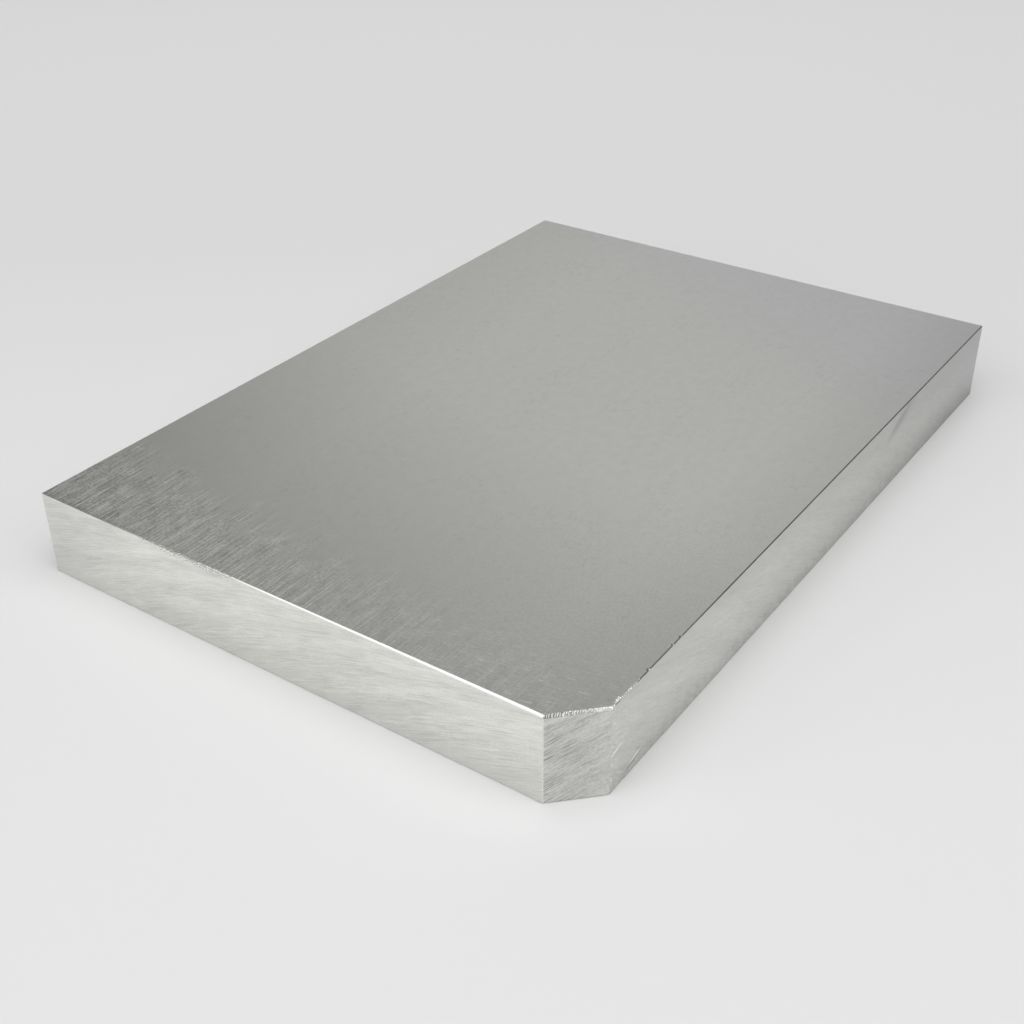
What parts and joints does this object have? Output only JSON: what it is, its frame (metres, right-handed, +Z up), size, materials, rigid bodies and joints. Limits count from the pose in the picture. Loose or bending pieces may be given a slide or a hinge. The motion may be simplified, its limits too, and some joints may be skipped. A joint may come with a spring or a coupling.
{
  "type": "aluminium plate",
  "caption": "Thick rectangular blank of rolled aluminium plate with a clipped corner and filed edges, ready to be machined or used as a base.",
  "frame": {"origin": "centre of the bottom face's overall rectangle, on the surface that the plate lies on", "axes": "+Z up through the thickness, +Y along the length and the rolling direction, +X across the width; the clipped corner is at +X, -Y"},
  "size_m": [0.17, 0.24, 0.025],
  "materials": {
    "mill_aluminium": "mill finish on the rolled faces, sawn edges, filed chamfers"
  },
  "bodies": {
    "root": {"plate": "mill_aluminium"}
  },
  "joints": []
}
